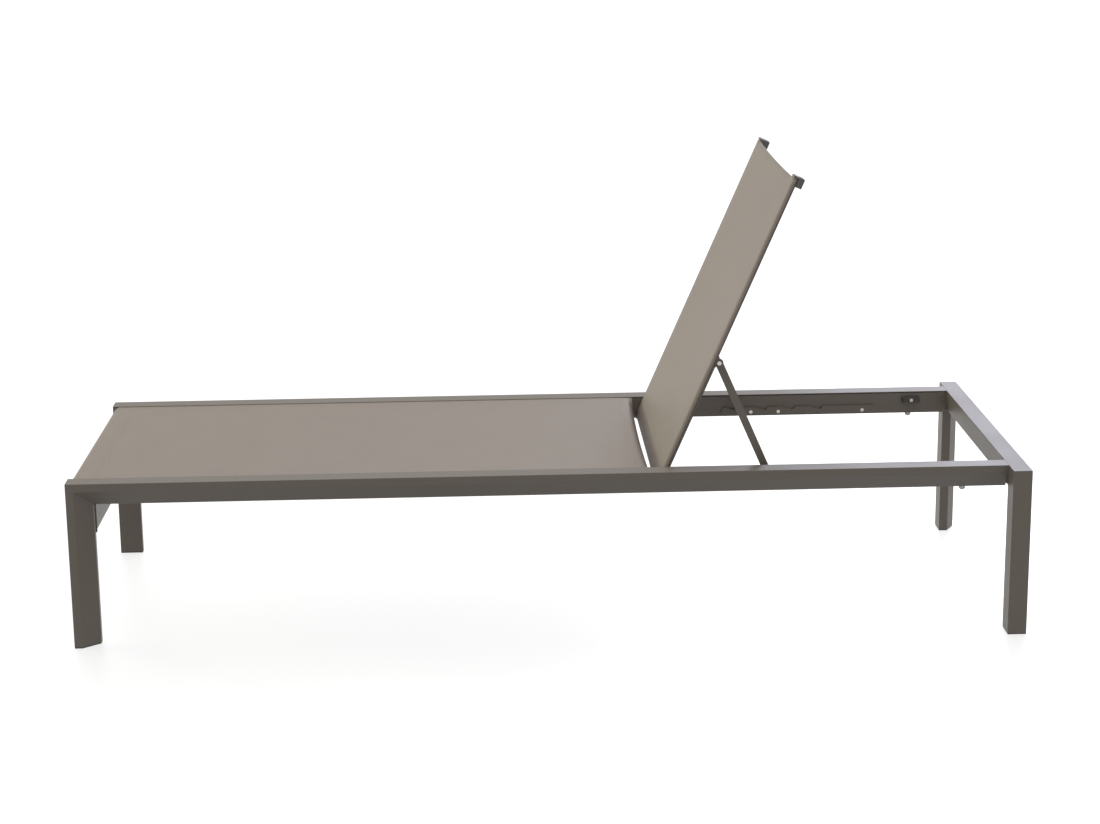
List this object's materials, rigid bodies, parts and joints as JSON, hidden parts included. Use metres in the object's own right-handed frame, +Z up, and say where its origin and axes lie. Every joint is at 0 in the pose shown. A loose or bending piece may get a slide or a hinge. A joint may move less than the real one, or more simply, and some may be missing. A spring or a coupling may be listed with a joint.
{
  "type": "sun lounger",
  "caption": "Low flat lounger with chamfered aluminium side rails and legs, a taut mesh seat and a mesh back that a notched prop holds at raised places or lets lie flat.",
  "frame": {"origin": "centre of the footprint on the floor, under the middle of the frame", "axes": "+X towards the head end, +Y towards the lying person's right-hand rail, +Z up"},
  "size_m": [2, 0.71, 0.9721],
  "materials": {
    "frame_aluminium": "satin powder coat over extruded aluminium",
    "sling_fabric": "woven mesh of PVC-coated polyester yarn",
    "welt_cord": "extruded PVC cord",
    "dark_nylon": "moulded nylon",
    "clear_nylon": "moulded translucent nylon",
    "steel": "stainless steel",
    "rivet_aluminium": "plain aluminium"
  },
  "bodies": {
    "frame": {"back_stop_left": "dark_nylon", "back_stop_right": "dark_nylon", "foot_brace": "frame_aluminium", "foot_crossbar": "frame_aluminium", "foot_glide_left": "dark_nylon", "foot_glide_right": "dark_nylon", "foot_leg_left": "frame_aluminium", "foot_leg_right": "frame_aluminium", "head_bar": "frame_aluminium", "head_glide_left": "dark_nylon", "head_glide_right": "dark_nylon", "head_leg_left": "frame_aluminium", "head_leg_right": "frame_aluminium", "hinge_bolt_left": "steel", "hinge_bolt_right": "steel", "hinge_bush_left": "dark_nylon", "hinge_bush_right": "dark_nylon", "hinge_nuts": "steel", "rack_left": "frame_aluminium", "rack_right": "frame_aluminium", "rack_screws": "steel", "rail_bumper_left": "clear_nylon", "rail_bumper_right": "clear_nylon", "rail_left": "frame_aluminium", "rail_right": "frame_aluminium", "seat_end_spreader": "frame_aluminium", "seat_sling": "sling_fabric", "seat_spreader": "frame_aluminium", "seat_welt_left": "welt_cord", "seat_welt_right": "welt_cord", "stop_screws": "steel"},
    "backrest": {"back_lower_bar": "frame_aluminium", "back_sling": "sling_fabric", "back_top_bar": "frame_aluminium", "back_welt_left": "welt_cord", "back_welt_right": "welt_cord", "hinge_plate_left": "frame_aluminium", "hinge_plate_right": "frame_aluminium", "plate_rivets": "rivet_aluminium", "prop_pin_left": "steel", "prop_pin_right": "steel", "prop_washer_left": "steel", "prop_washer_right": "steel", "stile_cap_left": "dark_nylon", "stile_cap_right": "dark_nylon", "stile_foot_cap_left": "dark_nylon", "stile_foot_cap_right": "dark_nylon", "stile_left": "frame_aluminium", "stile_right": "frame_aluminium"},
    "prop": {"prop_bar": "frame_aluminium", "prop_leg_left": "frame_aluminium", "prop_leg_right": "frame_aluminium", "prop_sleeve_left": "dark_nylon", "prop_sleeve_right": "dark_nylon"}
  },
  "joints": [
    {"name": "back_recline", "type": "hinge", "parent": "frame", "child": "backrest", "pos_m": [0.255, 0, 0.336], "axis": [0, 1, 0], "range_deg": [0, 66.5]},
    {"name": "prop_fold", "type": "hinge", "parent": "backrest", "child": "prop", "pos_m": [0.35868, 0, 0.57444], "axis": [0, 1, 0], "range_deg": [-133, 0]}
  ],
  "couplings": [
    {"joint": "prop_fold", "follows": "back_recline", "ratio": -2}
  ]
}
